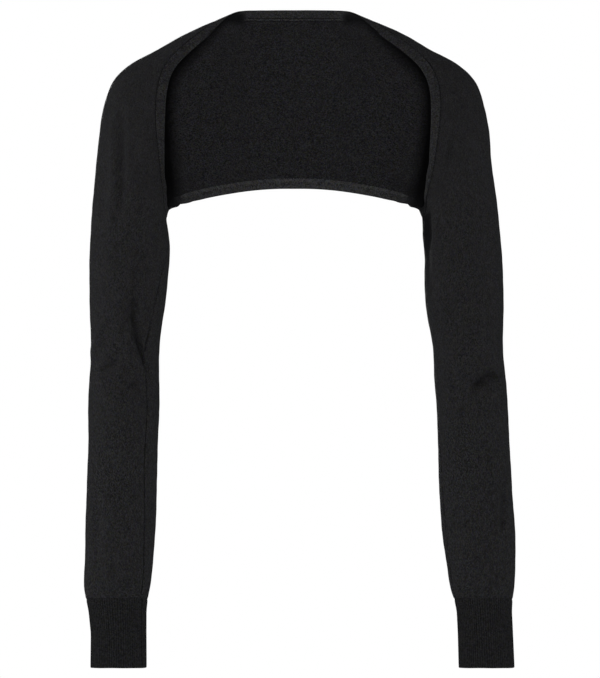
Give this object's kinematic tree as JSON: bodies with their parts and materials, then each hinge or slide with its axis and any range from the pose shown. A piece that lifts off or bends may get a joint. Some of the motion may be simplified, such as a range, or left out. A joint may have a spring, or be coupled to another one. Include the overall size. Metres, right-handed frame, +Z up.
{
  "type": "knitted shrug",
  "caption": "Long-sleeved knitted shrug: hollow sleeves joined across the upper back, an edge band round the body opening, deep ribbed cuffs.",
  "frame": {"origin": "midway between the two shoulder tops, level with the top edge of the nape, where the wearer's shoulders hold the garment", "axes": "+Z up along the hanging sleeves, the open front faces -Y, +X towards the sleeve on the right of the picture"},
  "size_m": [0.4516, 0.1298, 0.6905],
  "materials": {
    "black_knit": "matte fine plain knit",
    "black_band": "matte folded knit strip",
    "black_rib": "matte 1x1 rib"
  },
  "bodies": {
    "root": {"left_half": "black_knit", "right_half": "black_knit", "neck_band": "black_band", "hem_band": "black_band", "left_cuff": "black_rib", "right_cuff": "black_rib"}
  },
  "joints": []
}
